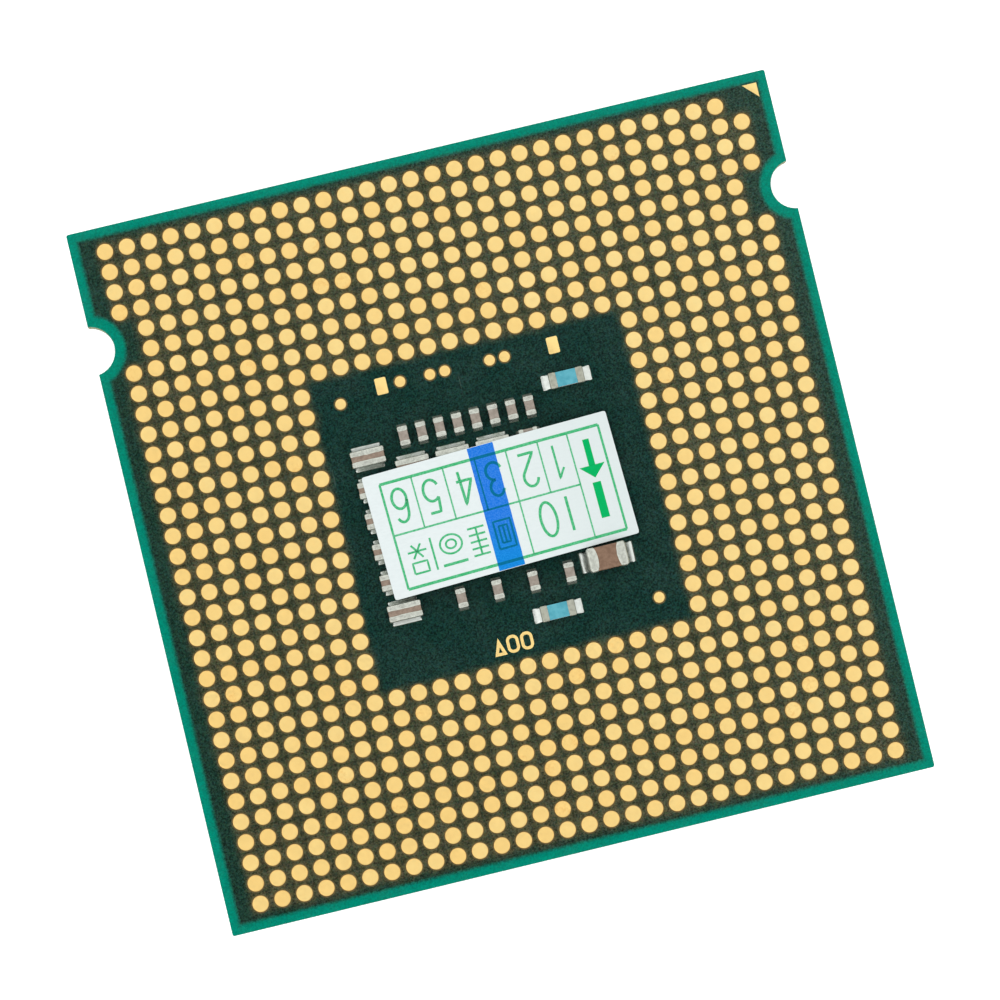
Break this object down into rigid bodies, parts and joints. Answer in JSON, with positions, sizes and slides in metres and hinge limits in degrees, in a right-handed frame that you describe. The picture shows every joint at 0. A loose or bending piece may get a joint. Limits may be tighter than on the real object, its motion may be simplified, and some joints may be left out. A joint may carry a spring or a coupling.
{
  "type": "land grid array processor",
  "caption": "Square lidded processor package lying lid down, with a field of round gold contact lands around a middle bay of chip parts and a seal label.",
  "frame": {"origin": "centre of the heat spreader's flat outer face, on which the part lies", "axes": "+Z from the heat spreader towards the contact lands; +Y towards the edge nearest the two key notches; +X towards the first contact's corner when the notches are at the top"},
  "size_m": [0.0376, 0.0376, 0.005],
  "materials": {
    "laminate": "matte",
    "copper": "satin",
    "solder_mask": "satin",
    "gold": "satin",
    "silicon": "gloss",
    "solder": "gloss",
    "underfill": "satin",
    "thermal_compound": "matte",
    "nickel_plate": "satin",
    "sealant": "matte",
    "capacitor_ceramic": "satin",
    "bulk_capacitor_ceramic": "satin",
    "resistor_alumina": "matte",
    "resistor_glaze": "gloss",
    "tin_plate": "satin",
    "label_film": "satin"
  },
  "bodies": {
    "root": {"cap_bulk": "bulk_capacitor_ceramic", "cap_centre_1": "capacitor_ceramic", "cap_centre_2": "capacitor_ceramic", "cap_centre_3": "capacitor_ceramic", "cap_cross": "capacitor_ceramic", "cap_north_1": "capacitor_ceramic", "cap_north_2": "capacitor_ceramic", "cap_north_3": "capacitor_ceramic", "cap_north_4": "capacitor_ceramic", "cap_north_5": "capacitor_ceramic", "cap_north_6": "capacitor_ceramic", "cap_north_7": "capacitor_ceramic", "cap_north_8": "capacitor_ceramic", "cap_south_1": "capacitor_ceramic", "cap_south_2": "capacitor_ceramic", "cap_south_3": "capacitor_ceramic", "cap_south_4": "capacitor_ceramic", "cap_terminals_bulk": "tin_plate", "cap_terminals_centre": "tin_plate", "cap_terminals_north": "tin_plate", "cap_terminals_south": "tin_plate", "cap_terminals_west": "tin_plate", "cap_west_1": "capacitor_ceramic", "cap_west_2": "capacitor_ceramic", "cap_west_3": "capacitor_ceramic", "cap_west_4": "capacitor_ceramic", "cap_west_5": "capacitor_ceramic", "cap_west_6": "capacitor_ceramic", "caps_under_label": "capacitor_ceramic", "component_pads": "gold", "contact_lands_east": "gold", "contact_lands_north": "gold", "contact_lands_south": "gold", "contact_lands_west": "gold", "copper_plane_die_side": "copper", "copper_plane_land_side": "copper", "core_laminate": "laminate", "etched_symbols": "gold", "heat_spreader": "nickel_plate", "inner_ply_die_side": "laminate", "inner_ply_land_side": "laminate", "lid_sealant": "sealant", "outer_ply_die_side": "laminate", "outer_ply_land_side": "laminate", "pin_one_mark_die_side": "gold", "pin_one_mark_land_side": "gold", "resistor_glaze": "resistor_glaze", "resistor_lower": "resistor_alumina", "resistor_terminals": "tin_plate", "resistor_upper": "resistor_alumina", "silicon_die": "silicon", "solder_bumps": "solder", "solder_fillets": "solder", "solder_mask_die_side": "solder_mask", "solder_mask_land_side": "solder_mask", "test_pads_rectangular": "gold", "test_pads_round": "gold", "thermal_interface": "thermal_compound", "underfill": "underfill", "warranty_label": "label_film"}
  },
  "joints": []
}
